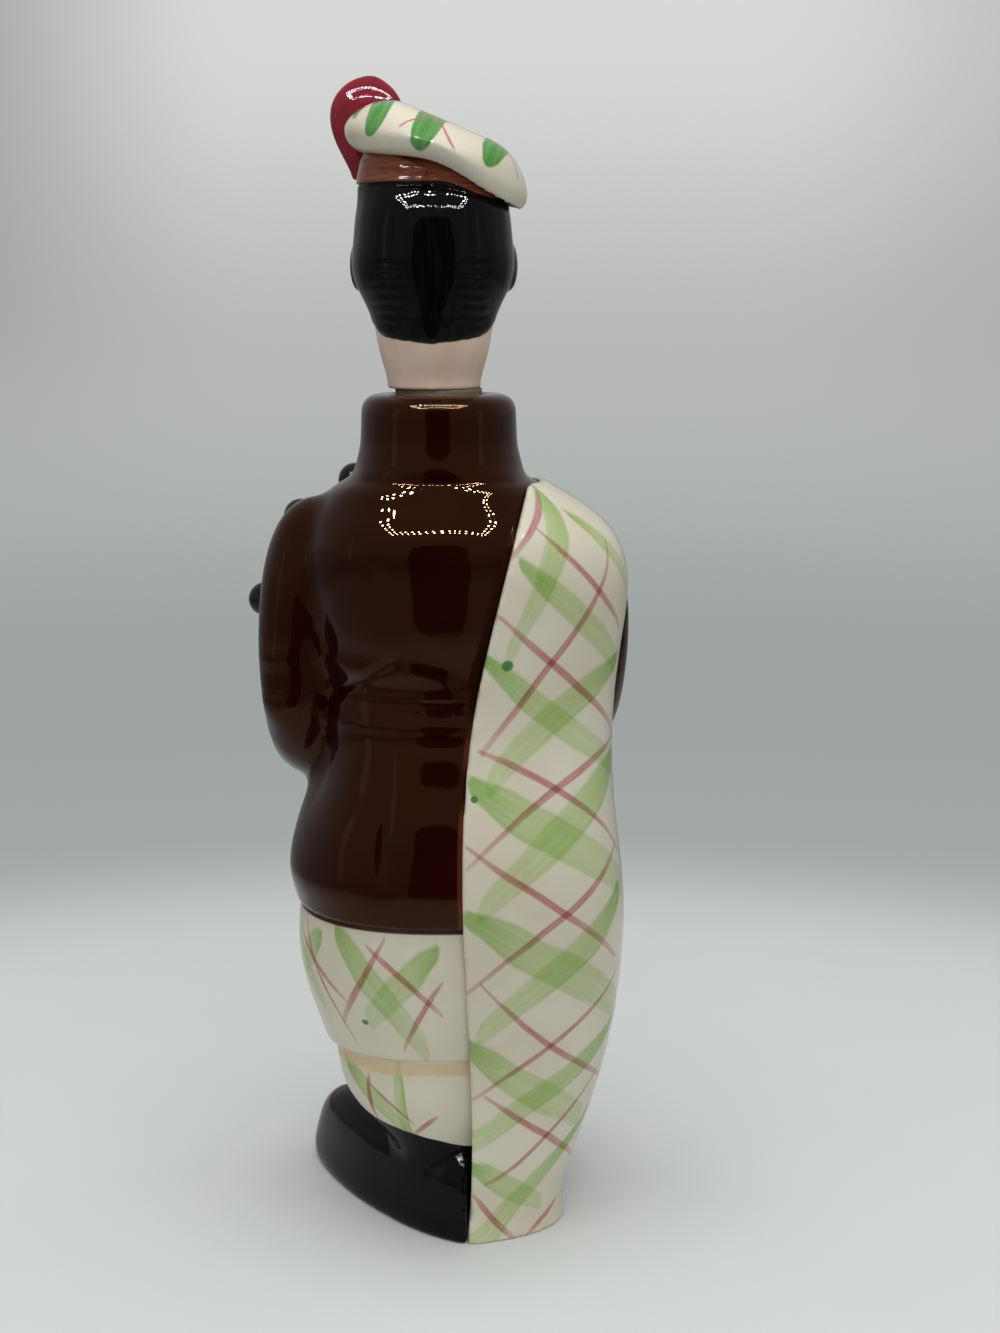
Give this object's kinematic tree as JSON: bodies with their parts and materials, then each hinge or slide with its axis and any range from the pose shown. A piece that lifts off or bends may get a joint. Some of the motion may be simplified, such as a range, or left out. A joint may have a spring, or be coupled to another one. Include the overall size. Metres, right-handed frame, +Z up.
{
  "type": "figural decanter",
  "caption": "Hollow glazed ceramic decanter shaped as a standing piper in kilt, jacket and plaid cape; the head with its bonnet lifts out on a cork as the stopper.",
  "frame": {"origin": "on the flat foot, under the axis of the mouth", "axes": "+Z up along the mouth's axis, -Y the way the figure faces, +X the figure's left"},
  "size_m": [0.1111, 0.099, 0.3293],
  "materials": {
    "plaid_glaze": "gloss cream glaze with green and rose brush strokes",
    "brown_glaze": "gloss dark brown glaze",
    "black_glaze": "gloss black glaze",
    "skin_glaze": "gloss pale skin glaze, black over the hair",
    "tan_glaze": "gloss tan glaze",
    "red_brown_glaze": "gloss brushed red brown glaze",
    "red_glaze": "gloss crimson glaze",
    "cork": "natural cork"
  },
  "bodies": {
    "vessel": {"stocking_legs": "plaid_glaze", "kilt_shell": "plaid_glaze", "jacket_shell": "brown_glaze", "standing_collar": "brown_glaze", "half_belt": "brown_glaze", "plaid_cape": "plaid_glaze", "left_sleeve": "brown_glaze", "right_sleeve": "brown_glaze", "left_hand": "skin_glaze", "right_hand": "skin_glaze", "pipe_bag": "plaid_glaze", "inner_tenor_drone": "black_glaze", "outer_tenor_drone": "black_glaze", "bass_drone": "black_glaze", "chanter": "black_glaze", "sporran": "tan_glaze", "low_button": "tan_glaze", "middle_button": "tan_glaze", "top_button": "tan_glaze", "left_shoe": "black_glaze", "right_shoe": "black_glaze"},
    "cork": {"cork_sleeve": "cork"},
    "head": {"head_casting": "skin_glaze", "tam_cap": "plaid_glaze", "cap_band": "red_brown_glaze", "cap_cockade": "red_glaze"}
  },
  "joints": [
    {"name": "stopper_lift", "type": "slide", "parent": "vessel", "child": "cork", "axis": [0, 0, 1], "range_m": [0, 0.06]},
    {"name": "head_turn", "type": "hinge", "parent": "cork", "child": "head", "pos_m": [0, 0, 0.2445], "axis": [0, 0, 1], "continuous": true}
  ]
}
